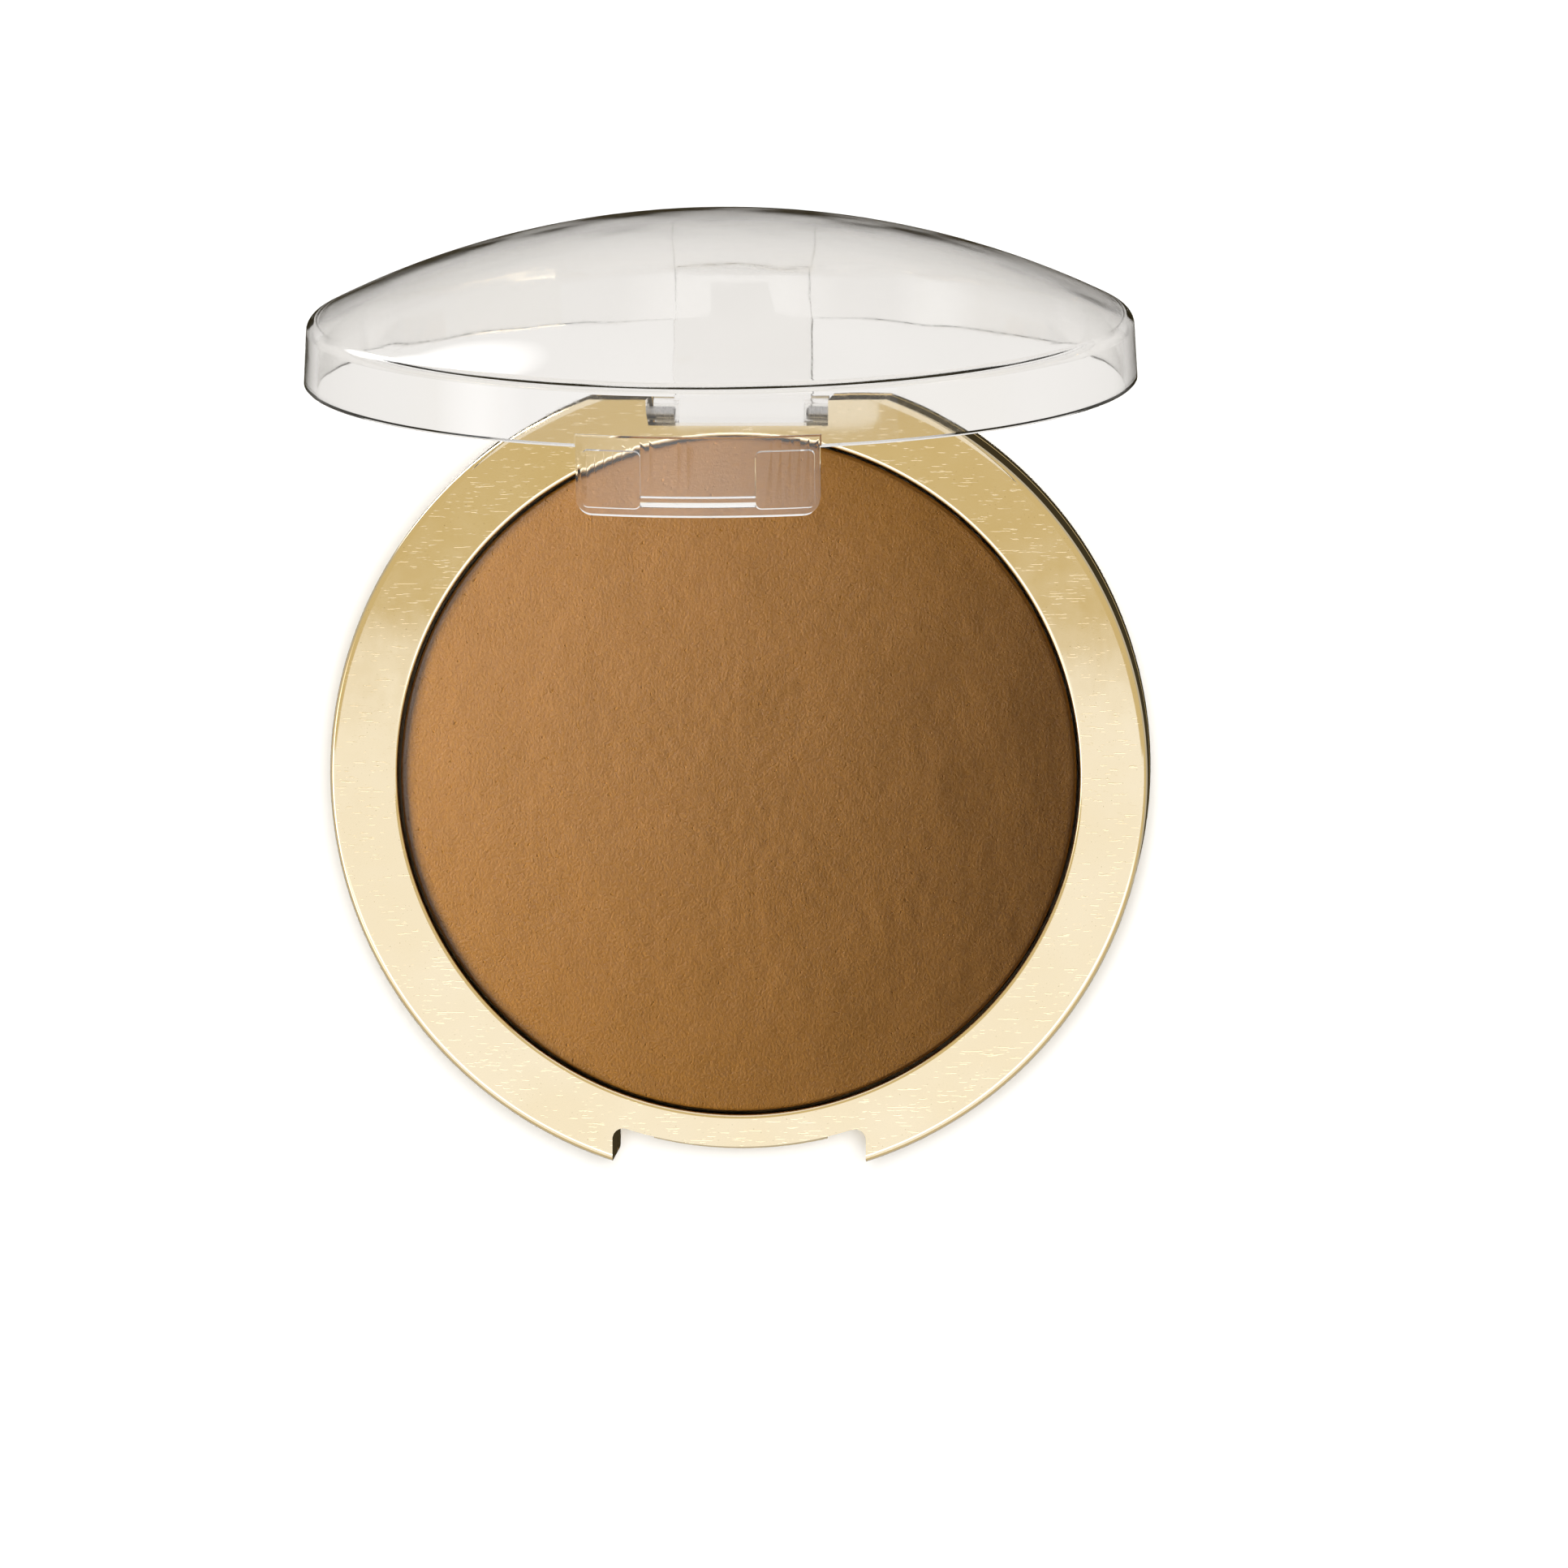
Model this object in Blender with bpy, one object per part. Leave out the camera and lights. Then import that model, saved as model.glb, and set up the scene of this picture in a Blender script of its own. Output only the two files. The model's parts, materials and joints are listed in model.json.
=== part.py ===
"""A round powder compact: gold base, tray, domed powder cake in its pan, and a clear domed lid.

The compact lies on its bottom cover at z = 0, with the base's centre at the origin. The thumb notch
is at -Y and the hinge at +Y. The lid is modelled closed, about its hinge axis, and its parent empty
turns it to the open rest pose.
Lengths are in metres; MM turns a length given in millimetres into metres.
"""

from math import asin, atan2, cos, degrees, pi, radians, sin, sqrt

import bmesh
import bpy
from mathutils import Matrix

MM = 0.001

# Driving dimensions of the base.
BASE_RADIUS = 38.0 * MM
BASE_HEIGHT = 12.0 * MM
SEAM_HEIGHT = 4.0 * MM
WALL = 1.2 * MM
GAP = 0.3 * MM
SEGMENTS = 72

# The opening in the frame's face, and the powder cake in it.
OPENING_RADIUS = 31.7 * MM
SKIRT_DEPTH = 2.6 * MM
SKIRT_WALL = 1.0 * MM
POWDER_RADIUS = 31.4 * MM
POWDER_CROWN = 13.5 * MM
POWDER_EDGE = 11.75 * MM
PAN_RIM = 10.3 * MM
PAN_THICKNESS = 0.3 * MM
ADHESIVE_RADIUS = 24.0 * MM
TRAY_UNDERSIDE = 6.0 * MM

# The hollow behind the frame's outer wall runs in two sectors, in degrees, from hinge to notch.
HOLLOW_SECTORS = ((-67.5, 60.0), (120.0, 247.5))
NOTCH_SECTOR = (247.5, 292.5)
SPIGOT_MARGIN = 3.75
SPIGOT_TOP = 6.0 * MM
COVER_FLOOR = 1.4 * MM
CARRIER_INNER = 27.0 * MM
CARRIER_OUTER = 28.4 * MM

# The hinge: its axis runs along X.
HINGE_Y = 33.5 * MM
HINGE_Z = 3.8 * MM
KNUCKLE_RADIUS = 1.8 * MM
SLOT_HALF_WIDTH = 8.5 * MM
CHEEK_END = 14.0 * MM
PIN_RADIUS = 0.7 * MM
PIN_START = 6.2 * MM
PIN_END = 13.6 * MM
BORE_RADIUS = 1.0 * MM
OPEN_ANGLE = 84.0

# The thumb notch and the catch ridge on its inner wall.
NOTCH_HALF_WIDTH = 11.8 * MM
NOTCH_RADIUS = 34.7 * MM
NOTCH_FILLET = 1.0 * MM
RIDGE_HALF_WIDTH = 8.0 * MM
RIDGE_LOW = 8.6 * MM
RIDGE_TALL = 0.8 * MM
RIDGE_PROUD = 0.5 * MM

# The lid.
LID_RADIUS = 37.7 * MM
LID_WALL = 1.2 * MM
RIM_HEIGHT = 5.6 * MM
RIM_DRAFT = 0.25 * MM
DOME_RISE = 9.2 * MM
TAB_HALF_WIDTH = 10.75 * MM
TAB_LENGTH = 6.0 * MM
TAB_THICKNESS = 1.4 * MM
TAB_CORNER = 1.5 * MM
BEAD_HALF_WIDTH = 5.6 * MM
BEAD_DROP = 4.8 * MM
BEAD_PROUD = 0.6 * MM
BLOCK_PROUD = 0.75 * MM
BLOCK_START = 5.0 * MM
BLOCK_END = 10.1 * MM
BLOCK_TOP_DROP = 0.4 * MM
BLOCK_LOW_DROP = 5.5 * MM
LEAF_HALF_WIDTH = 6.45 * MM

# Sizes that follow from those above.
FRAME_BOTTOM = SEAM_HEIGHT + GAP / 2
COVER_TOP = SEAM_HEIGHT - GAP / 2
CHANNEL_INNER = OPENING_RADIUS + SKIRT_WALL
CHANNEL_OUTER = BASE_RADIUS - WALL
BACK_FLAT = HINGE_Y + KNUCKLE_RADIUS
RIM_PLANE = BASE_HEIGHT + GAP
STEP_ANGLE = 2 * pi / SEGMENTS


def clear_scene():
    for old in list(bpy.data.objects):
        bpy.data.objects.remove(old, do_unlink=True)


def make_material(name, colour, roughness, metallic=0.0, transmission=0.0):
    material = bpy.data.materials.new(name)
    material.use_nodes = True
    shader = material.node_tree.nodes["Principled BSDF"]
    shader.inputs["Base Color"].default_value = (*colour, 1.0)
    shader.inputs["Roughness"].default_value = roughness
    shader.inputs["Metallic"].default_value = metallic
    shader.inputs["Transmission Weight"].default_value = transmission
    return material


def arc(centre_a, centre_b, radius, start, end, steps):
    """Points of an arc in a plane, from one angle to another in degrees, with both ends."""
    angles = [radians(start + (end - start) * i / steps) for i in range(steps + 1)]
    return [(centre_a + radius * cos(a), centre_b + radius * sin(a)) for a in angles]


def object_from(bm, name):
    bmesh.ops.recalc_face_normals(bm, faces=bm.faces)
    mesh = bpy.data.meshes.new(name)
    bm.to_mesh(mesh)
    bm.free()
    made = bpy.data.objects.new(name, mesh)
    bpy.context.scene.collection.objects.link(made)
    return made


def turned(name, outline, start=0.0, end=360.0):
    """A closed (radius, height) outline turned about Z, fully or between two angles in degrees."""
    bm = bmesh.new()
    edge_points = [bm.verts.new((r, 0.0, z)) for r, z in outline]
    edges = [bm.edges.new((a, b)) for a, b in zip(edge_points, edge_points[1:] + edge_points[:1])]
    full = abs(end - start) > 359.9
    bmesh.ops.rotate(bm, verts=bm.verts, cent=(0, 0, 0), matrix=Matrix.Rotation(radians(start), 3, "Z"))
    steps = max(2, round(radians(abs(end - start)) / STEP_ANGLE))
    swept = bmesh.ops.spin(
        bm, geom=edge_points + edges, axis=(0, 0, 1), cent=(0, 0, 0),
        angle=radians(end - start), steps=steps, use_merge=full,
    )
    bmesh.ops.remove_doubles(bm, verts=bm.verts, dist=1e-6)
    if not full:
        bm.faces.new(edge_points)
        bm.faces.new([v for v in swept["geom_last"] if isinstance(v, bmesh.types.BMVert)])
    return object_from(bm, name)


def prism(name, outline, low, high, axis="Z"):
    """An outline extruded along an axis: (x, y) along Z, (y, z) along X, or (x, z) along Y."""
    place = {
        "Z": lambda a, b, c: (a, b, c),
        "X": lambda a, b, c: (c, a, b),
        "Y": lambda a, b, c: (a, c, b),
    }[axis]
    bm = bmesh.new()
    near = [bm.verts.new(place(a, b, low)) for a, b in outline]
    far = [bm.verts.new(place(a, b, high)) for a, b in outline]
    bm.faces.new(near)
    bm.faces.new(list(reversed(far)))
    for i in range(len(outline)):
        k = (i + 1) % len(outline)
        bm.faces.new((near[i], far[i], far[k], near[k]))
    return object_from(bm, name)


def box_outline(low_a, high_a, low_b, high_b):
    return [(low_a, low_b), (high_a, low_b), (high_a, high_b), (low_a, high_b)]


def combine(target, tool, operation):
    """Joins the tool to the target or cuts it away, and removes the tool."""
    modifier = target.modifiers.new("Boolean", "BOOLEAN")
    modifier.operation = operation
    modifier.solver = "EXACT"
    modifier.object = tool
    graph = bpy.context.evaluated_depsgraph_get()
    result = bpy.data.meshes.new_from_object(target.evaluated_get(graph))
    target.modifiers.clear()
    target.data = result
    bpy.data.objects.remove(tool, do_unlink=True)


def cut(target, tool):
    combine(target, tool, "DIFFERENCE")


def join(target, tool):
    combine(target, tool, "UNION")


def finish(part, material):
    part.data.materials.clear()
    part.data.materials.append(material)
    part.data.shade_smooth()
    part.data.set_sharp_from_angle(angle=radians(35))


def notch_outline():
    """The thumb notch from above: straight sides, small fillets and an inner wall round the base's axis."""
    centre_x = NOTCH_HALF_WIDTH - NOTCH_FILLET
    centre_y = -sqrt((NOTCH_RADIUS + NOTCH_FILLET) ** 2 - centre_x**2)
    turn = degrees(atan2(-centre_y, -centre_x))
    reach = degrees(atan2(centre_y, centre_x))
    outer = -BASE_RADIUS - 5 * MM
    right = arc(centre_x, centre_y, NOTCH_FILLET, 0, turn, 4)
    inner = arc(0, 0, NOTCH_RADIUS, reach, -180 - reach, 16)
    left = [(-x, y) for x, y in reversed(right)]
    return [(NOTCH_HALF_WIDTH, outer)] + right + inner[1:-1] + left + [(-NOTCH_HALF_WIDTH, outer)]


def cut_notch(part):
    cut(part, prism("notch", notch_outline(), -5 * MM, BASE_HEIGHT + 5 * MM))


def hinge_slot(inner, low, high):
    outline = box_outline(-SLOT_HALF_WIDTH, SLOT_HALF_WIDTH, inner, BASE_RADIUS + 5 * MM)
    return prism("slot", outline, low, high)


def back_flat(low, high):
    wide = BASE_RADIUS
    return prism("flat", box_outline(-wide, wide, BACK_FLAT, BASE_RADIUS + 5 * MM), low, high)


def catch_ridge():
    """A low rib with sloping flanks on the notch's inner wall."""
    root = NOTCH_RADIUS - 0.5 * MM
    flank = NOTCH_RADIUS + 0.2 * MM
    top = RIDGE_LOW + RIDGE_TALL
    outline = [
        (root, RIDGE_LOW),
        (flank, RIDGE_LOW),
        (NOTCH_RADIUS + RIDGE_PROUD, RIDGE_LOW + RIDGE_TALL / 2),
        (flank, top),
        (root, top),
    ]
    reach = degrees(asin(RIDGE_HALF_WIDTH / NOTCH_RADIUS))
    return turned("ridge", outline, 270 - reach, 270 + reach)


def top_frame(material):
    """The gold ring: face, outer wall, skirt, thumb notch with its catch ridge, and hinge cheeks."""
    outer_round = 0.6 * MM
    inner_round = 0.35 * MM
    skirt_end = BASE_HEIGHT - SKIRT_DEPTH
    outline = (
        [(OPENING_RADIUS, skirt_end)]
        + arc(OPENING_RADIUS + inner_round, BASE_HEIGHT - inner_round, inner_round, 180, 90, 4)
        + arc(BASE_RADIUS - outer_round, BASE_HEIGHT - outer_round, outer_round, 90, 0, 5)
        + [(BASE_RADIUS, FRAME_BOTTOM), (CHANNEL_INNER, FRAME_BOTTOM), (CHANNEL_INNER, skirt_end)]
    )
    frame = turned("top_frame", outline)
    plate_underside = BASE_HEIGHT - WALL
    channel = [
        (CHANNEL_INNER - 0.1 * MM, FRAME_BOTTOM - MM),
        (CHANNEL_OUTER, FRAME_BOTTOM - MM),
        (CHANNEL_OUTER, plate_underside),
        (CHANNEL_INNER - 0.1 * MM, plate_underside),
    ]
    for start, end in HOLLOW_SECTORS:
        cut(frame, turned("channel", channel, start, end))
    cut_notch(frame)
    join(frame, catch_ridge())
    barrel_top = TRAY_UNDERSIDE - GAP
    cheek = arc(HINGE_Y, HINGE_Z, KNUCKLE_RADIUS, 180, 360, 12)
    cheek = cheek + [(BACK_FLAT, barrel_top), (HINGE_Y - KNUCKLE_RADIUS, barrel_top)]
    cut(frame, back_flat(0, BASE_HEIGHT + MM))
    # Above the knuckle the slot leaves a thin strip of the skirt; beside it the slot is deeper.
    cut(frame, hinge_slot(OPENING_RADIUS + 1.05 * MM, 0, BASE_HEIGHT + MM))
    cut(frame, hinge_slot(HINGE_Y - KNUCKLE_RADIUS - GAP, 0, TRAY_UNDERSIDE + MM))
    for side in (-1, 1):
        ends = sorted((side * SLOT_HALF_WIDTH, side * CHEEK_END))
        join(frame, prism("cheek", cheek, *ends, axis="X"))
    bore = arc(HINGE_Y, HINGE_Z, BORE_RADIUS, 0, 345, 23)
    cut(frame, prism("bore", bore, -CHEEK_END - 0.6 * MM, CHEEK_END + 0.6 * MM, axis="X"))
    finish(frame, material)
    return frame


def bottom_cover(material):
    """The lower shell: floor, low wall, two spigots that enter the frame, and a ring under the tray."""
    edge_round = 0.8 * MM
    carrier_top = TRAY_UNDERSIDE - GAP
    root = COVER_FLOOR / 2
    outline = (
        [(0, 0)]
        + arc(BASE_RADIUS - edge_round, edge_round, edge_round, -90, 0, 4)
        + [(BASE_RADIUS, COVER_TOP), (CHANNEL_OUTER, COVER_TOP), (CHANNEL_OUTER, COVER_FLOOR)]
        + [(CARRIER_OUTER, COVER_FLOOR), (CARRIER_OUTER, carrier_top)]
        + [(CARRIER_INNER, carrier_top), (CARRIER_INNER, COVER_FLOOR), (0, COVER_FLOOR)]
    )
    cover = turned("bottom_cover", outline)
    spigot_outer = CHANNEL_OUTER - GAP
    spigot = box_outline(spigot_outer - MM, spigot_outer, root, SPIGOT_TOP)
    for start, end in HOLLOW_SECTORS:
        join(cover, turned("spigot", spigot, start + SPIGOT_MARGIN, end - SPIGOT_MARGIN))
    front = box_outline(CHANNEL_INNER + GAP, CHANNEL_OUTER + 0.5 * MM, root, COVER_TOP)
    join(cover, turned("notch_wall", front, *NOTCH_SECTOR))
    cut_notch(cover)
    recess_front = HINGE_Y - KNUCKLE_RADIUS - GAP
    recess = box_outline(-CHEEK_END - GAP, CHEEK_END + GAP, recess_front, BASE_RADIUS + MM)
    cut(cover, prism("recess", recess, COVER_FLOOR, BASE_HEIGHT))
    # The rear wall in front of the hinge is low and wide, with a higher middle part.
    for half_width, top in ((CHEEK_END + 2 * MM, COVER_TOP), (SLOT_HALF_WIDTH - 0.5 * MM, carrier_top)):
        wall = box_outline(-half_width, half_width, recess_front - WALL, recess_front)
        join(cover, prism("rear_wall", wall, root, top))
    cut(cover, back_flat(-MM, BASE_HEIGHT))
    cut(cover, hinge_slot(recess_front, -MM, BASE_HEIGHT))
    finish(cover, material)
    return cover


def pan_tray(material):
    """The dish that carries the pan, with a low wall under the frame's skirt."""
    outer = CHANNEL_INNER - GAP
    inner = outer - 0.8 * MM
    floor = TRAY_UNDERSIDE + 0.9 * MM
    wall_top = BASE_HEIGHT - SKIRT_DEPTH - GAP
    outline = [
        (0, TRAY_UNDERSIDE),
        (outer, TRAY_UNDERSIDE),
        (outer, wall_top),
        (inner, wall_top),
        (inner, floor),
        (0, floor),
    ]
    tray = turned("pan_tray", outline)
    finish(tray, material)
    return tray


def pan_adhesive(material):
    """A thin disc of foam tape between the tray's floor and the pan."""
    low = TRAY_UNDERSIDE + 1.15 * MM
    pad = turned("pan_adhesive", box_outline(0, ADHESIVE_RADIUS, low, low + 0.25 * MM))
    finish(pad, material)
    return pad


def powder_pan(material):
    """The aluminium dish: a thin floor and a wall that ends below the cake's shoulder."""
    outer = POWDER_RADIUS
    low = TRAY_UNDERSIDE + 1.65 * MM
    corner = 0.8 * MM
    outline = (
        [(0, low)]
        + arc(outer - corner, low + corner, corner, -90, 0, 3)
        + [(outer, PAN_RIM), (outer - PAN_THICKNESS, PAN_RIM)]
        + arc(outer - corner, low + corner, corner - PAN_THICKNESS, 0, -90, 3)
        + [(0, low + PAN_THICKNESS)]
    )
    pan = turned("powder_pan", outline)
    finish(pan, material)
    return pan


def pressed_powder(material):
    """The cake: straight inside the pan, with a shoulder over the pan's edge and a shallow crown."""
    low = TRAY_UNDERSIDE + 2.2 * MM
    inside_pan = POWDER_RADIUS - PAN_THICKNESS - 0.25 * MM
    shoulder = 0.35 * MM
    rise = POWDER_CROWN - POWDER_EDGE
    crown_edge = POWDER_RADIUS - shoulder
    crown_radius = (crown_edge**2 + rise**2) / (2 * rise)
    half_angle = degrees(asin(crown_edge / crown_radius))
    outline = (
        [(0, low), (inside_pan - 0.6 * MM, low), (inside_pan, low + 0.6 * MM)]
        + [(inside_pan, PAN_RIM + 0.2 * MM), (POWDER_RADIUS, PAN_RIM + 0.3 * MM)]
        + arc(crown_edge, POWDER_EDGE - shoulder, shoulder, 0, 90 - half_angle, 4)
        + arc(0, POWDER_CROWN - crown_radius, crown_radius, 90 - half_angle, 90, 6)[1:]
    )
    cake = turned("pressed_powder", outline)
    finish(cake, material)
    return cake


def lid_shell_outline():
    """The (radius, height) outline of dome and rim wall, from the rim's inner edge round to it again."""
    edge_round = 1.3 * MM
    wall_top = RIM_PLANE + RIM_HEIGHT
    top_radius = LID_RADIUS - RIM_DRAFT
    dome_radius = (top_radius**2 + DOME_RISE**2) / (2 * DOME_RISE)
    dome_centre = wall_top + DOME_RISE - dome_radius
    # The edge's round touches the rim wall and, from inside, the dome.
    round_r = top_radius - edge_round
    round_z = dome_centre + sqrt((dome_radius - edge_round) ** 2 - round_r**2)
    touch = degrees(atan2(round_z - dome_centre, round_r))
    inner_dome = dome_radius - LID_WALL
    inner_round = 0.5 * MM
    inner_top = top_radius - LID_WALL
    inner_round_r = inner_top - inner_round
    inner_round_z = dome_centre + sqrt((inner_dome - inner_round) ** 2 - inner_round_r**2)
    inner_touch = degrees(atan2(inner_round_z - dome_centre, inner_round_r))
    return (
        [(LID_RADIUS - LID_WALL, RIM_PLANE), (LID_RADIUS, RIM_PLANE)]
        + arc(round_r, round_z, edge_round, 0, touch, 4)
        + arc(0, dome_centre, dome_radius, touch, 90, 9)[1:]
        + arc(0, dome_centre, inner_dome, 90, inner_touch, 9)
        + arc(inner_round_r, inner_round_z, inner_round, inner_touch, 0, 3)[1:]
    )


def leaf_outline():
    """The hinge leaf from the side, as (y, z): barrel round the axis, heel, outer face and inner face."""
    inner_y = BACK_FLAT + GAP
    top = RIM_PLANE + RIM_HEIGHT + 0.5 * MM
    barrel = arc(HINGE_Y, HINGE_Z, KNUCKLE_RADIUS, 270, 90, 12)
    return barrel + [
        (HINGE_Y + 1.2 * MM, HINGE_Z + 1.5 * MM),
        (inner_y, HINGE_Z + 2.6 * MM),
        (inner_y, RIM_PLANE - MM),
        (inner_y + MM, RIM_PLANE + MM),
        (inner_y + MM, top),
        (LID_RADIUS + 0.1 * MM, top),
        (LID_RADIUS + 0.25 * MM, top - 0.5 * MM),
        (LID_RADIUS + 0.25 * MM, RIM_PLANE),
        (HINGE_Y + 3.55 * MM, HINGE_Z + 0.3 * MM),
        (HINGE_Y + 3.3 * MM, HINGE_Z - 0.9 * MM),
        (HINGE_Y + 2.2 * MM, HINGE_Z - KNUCKLE_RADIUS),
    ]


def tab_outline():
    """The latch tab seen from the front, as (x, z), with round lower corners."""
    low = RIM_PLANE - TAB_LENGTH + TAB_CORNER
    side = TAB_HALF_WIDTH - TAB_CORNER
    high = RIM_PLANE + 1.5 * MM
    return (
        [(-TAB_HALF_WIDTH, high)]
        + arc(-side, low, TAB_CORNER, 180, 270, 4)
        + arc(side, low, TAB_CORNER, 270, 360, 4)
        + [(TAB_HALF_WIDTH, high)]
    )


def latch_tab():
    """A curved plate below the rim wall, with a bead and two end blocks on its inner face."""
    inner = LID_RADIUS - TAB_THICKNESS
    reach = degrees(asin(TAB_HALF_WIDTH / inner)) + 3
    sector = (270 - reach, 270 + reach)
    tab_low = RIM_PLANE - TAB_LENGTH
    front = (-BASE_RADIUS - 2 * MM, -BASE_RADIUS + 10 * MM)
    tab = turned("tab", box_outline(inner, LID_RADIUS, tab_low - MM, RIM_PLANE + MM), *sector)
    combine(tab, prism("tab_shape", tab_outline(), *front, axis="Y"), "INTERSECT")
    bead_z = RIM_PLANE - BEAD_DROP
    bead = [
        (inner + 0.5 * MM, bead_z - 0.5 * MM),
        (inner + 0.5 * MM, bead_z + 0.5 * MM),
        (inner - 0.2 * MM, bead_z + 0.5 * MM),
        (inner - BEAD_PROUD, bead_z + 0.2 * MM),
        (inner - BEAD_PROUD, bead_z - 0.2 * MM),
        (inner - 0.2 * MM, bead_z - 0.5 * MM),
    ]
    bead_reach = degrees(asin(BEAD_HALF_WIDTH / inner))
    join(tab, turned("bead", bead, 270 - bead_reach, 270 + bead_reach))
    for side in (-1, 1):
        ends = sorted((side * BLOCK_START, side * BLOCK_END))
        section = box_outline(inner - BLOCK_PROUD, inner + 0.4 * MM, tab_low, RIM_PLANE)
        block = turned("block", section, *sector)
        shape = box_outline(*ends, RIM_PLANE - BLOCK_LOW_DROP, RIM_PLANE - BLOCK_TOP_DROP)
        combine(block, prism("block_shape", shape, *front, axis="Y"), "INTERSECT")
        join(tab, block)
    return tab


def knuckle():
    """The barrel that turns between the frame's cheeks."""
    half = SLOT_HALF_WIDTH - GAP
    return prism("knuckle", arc(HINGE_Y, HINGE_Z, KNUCKLE_RADIUS, 0, 345, 23), -half, half, axis="X")


def lid(material, hinge):
    """The clear lid: dome and rim wall, latch tab, hinge leaf and knuckle in one moulding."""
    shell = turned("lid", lid_shell_outline())
    join(shell, latch_tab())
    leaf = prism("leaf", leaf_outline(), -LEAF_HALF_WIDTH, LEAF_HALF_WIDTH, axis="X")
    join(leaf, knuckle())
    for side in (-1, 1):
        ends = sorted((side * (PIN_START - GAP), side * SLOT_HALF_WIDTH))
        cut(leaf, prism("pin_bore", arc(HINGE_Y, HINGE_Z, BORE_RADIUS, 0, 345, 23), *ends, axis="X"))
    join(shell, leaf)
    finish(shell, material)
    # The mesh is moved so that the lid's own origin lies on the hinge axis, and the empty then opens it.
    shell.data.transform(Matrix.Translation((0, -HINGE_Y, -HINGE_Z)))
    shell.parent = hinge
    return shell


def hinge_pin(name, side, material):
    """A short steel pin that joins one of the frame's cheeks to the lid's knuckle."""
    ends = sorted((side * PIN_START, side * PIN_END))
    pin = prism(name, arc(HINGE_Y, HINGE_Z, PIN_RADIUS, 0, 337.5, 15), *ends, axis="X")
    finish(pin, material)
    return pin


def hinge_axis():
    hinge = bpy.data.objects.new("lid_hinge_axis", None)
    hinge.empty_display_size = 5 * MM
    hinge.location = (0, HINGE_Y, HINGE_Z)
    hinge.rotation_euler = (radians(-OPEN_ANGLE), 0, 0)
    bpy.context.scene.collection.objects.link(hinge)
    return hinge


def main():
    clear_scene()
    gold = make_material("gold_metallised", (0.84, 0.66, 0.36), 0.12, metallic=1.0)
    tray_plastic = make_material("tray_plastic", (0.70, 0.62, 0.47), 0.45)
    aluminium = make_material("pan_aluminium", (0.80, 0.80, 0.79), 0.35, metallic=1.0)
    tape = make_material("adhesive_foam", (0.82, 0.81, 0.76), 0.85)
    bronze = make_material("bronze_powder", (0.36, 0.17, 0.06), 0.9)
    clear = make_material("clear_lid", (0.93, 0.93, 0.92), 0.05, transmission=1.0)
    steel = make_material("pin_steel", (0.62, 0.62, 0.63), 0.3, metallic=1.0)
    bottom_cover(gold)
    top_frame(gold)
    pan_tray(tray_plastic)
    pan_adhesive(tape)
    powder_pan(aluminium)
    pressed_powder(bronze)
    lid(clear, hinge_axis())
    hinge_pin("hinge_pin_left", -1, steel)
    hinge_pin("hinge_pin_right", 1, steel)


main()
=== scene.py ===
"""Visual model of a round powder compact: gold base, domed bronze cake and clear domed lid.

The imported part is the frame. The frame ring, the bottom cover, the cake, the lid and the hinge pins
are built again here with finer surfaces, in the space of their own CAD nodes. The pan, its adhesive and
its tray stay as they are and get their own materials. Lengths are in metres, and MM turns a length given
in millimetres into metres.
"""

import json
from math import asin, atan2, cos, degrees, pi, radians, sin, sqrt, tan

import bmesh
import bpy
from mathutils import Matrix, Vector, noise


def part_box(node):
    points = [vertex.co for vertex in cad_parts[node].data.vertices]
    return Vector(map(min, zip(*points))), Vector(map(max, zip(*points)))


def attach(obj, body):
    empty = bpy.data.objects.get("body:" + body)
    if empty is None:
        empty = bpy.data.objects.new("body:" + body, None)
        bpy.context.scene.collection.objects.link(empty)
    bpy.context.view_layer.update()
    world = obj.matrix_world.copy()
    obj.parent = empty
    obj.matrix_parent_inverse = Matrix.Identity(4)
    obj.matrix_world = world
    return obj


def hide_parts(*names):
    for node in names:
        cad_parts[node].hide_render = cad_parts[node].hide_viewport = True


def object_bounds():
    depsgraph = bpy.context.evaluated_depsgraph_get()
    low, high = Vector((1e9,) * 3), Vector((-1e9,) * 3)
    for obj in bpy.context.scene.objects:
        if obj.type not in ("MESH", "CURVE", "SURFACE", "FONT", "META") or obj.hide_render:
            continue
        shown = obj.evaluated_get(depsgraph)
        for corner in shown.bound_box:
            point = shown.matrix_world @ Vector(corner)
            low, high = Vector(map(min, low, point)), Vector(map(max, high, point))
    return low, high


MM = 0.001

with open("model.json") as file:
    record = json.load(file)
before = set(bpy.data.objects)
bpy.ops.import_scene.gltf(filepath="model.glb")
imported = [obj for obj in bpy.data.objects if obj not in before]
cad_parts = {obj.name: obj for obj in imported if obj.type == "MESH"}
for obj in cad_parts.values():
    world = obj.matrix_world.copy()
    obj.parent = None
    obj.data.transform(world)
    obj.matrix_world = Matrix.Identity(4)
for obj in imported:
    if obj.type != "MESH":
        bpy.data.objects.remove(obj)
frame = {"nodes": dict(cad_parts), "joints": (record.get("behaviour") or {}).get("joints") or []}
cad_low, cad_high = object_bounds()

frame_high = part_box("top_frame")[1]
cover_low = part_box("bottom_cover")[0]
cake_low, cake_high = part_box("pressed_powder")
pin_low, pin_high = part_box("hinge_pin_right")
hinge = frame["joints"][0]

# Main sizes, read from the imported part.
BASE_RADIUS = frame_high.x
BASE_HEIGHT = frame_high.z
COVER_BOTTOM = cover_low.z
BACK_FLAT = frame_high.y
CAKE_RADIUS = cake_high.x
CAKE_BOTTOM = cake_low.z
HINGE_Y = (pin_low.y + pin_high.y) / 2
HINGE_Z = (pin_low.z + pin_high.z) / 2
PIN_RADIUS = (pin_high.z - pin_low.z) / 2
PIN_START = pin_low.x
PIN_END = pin_high.x

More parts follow.
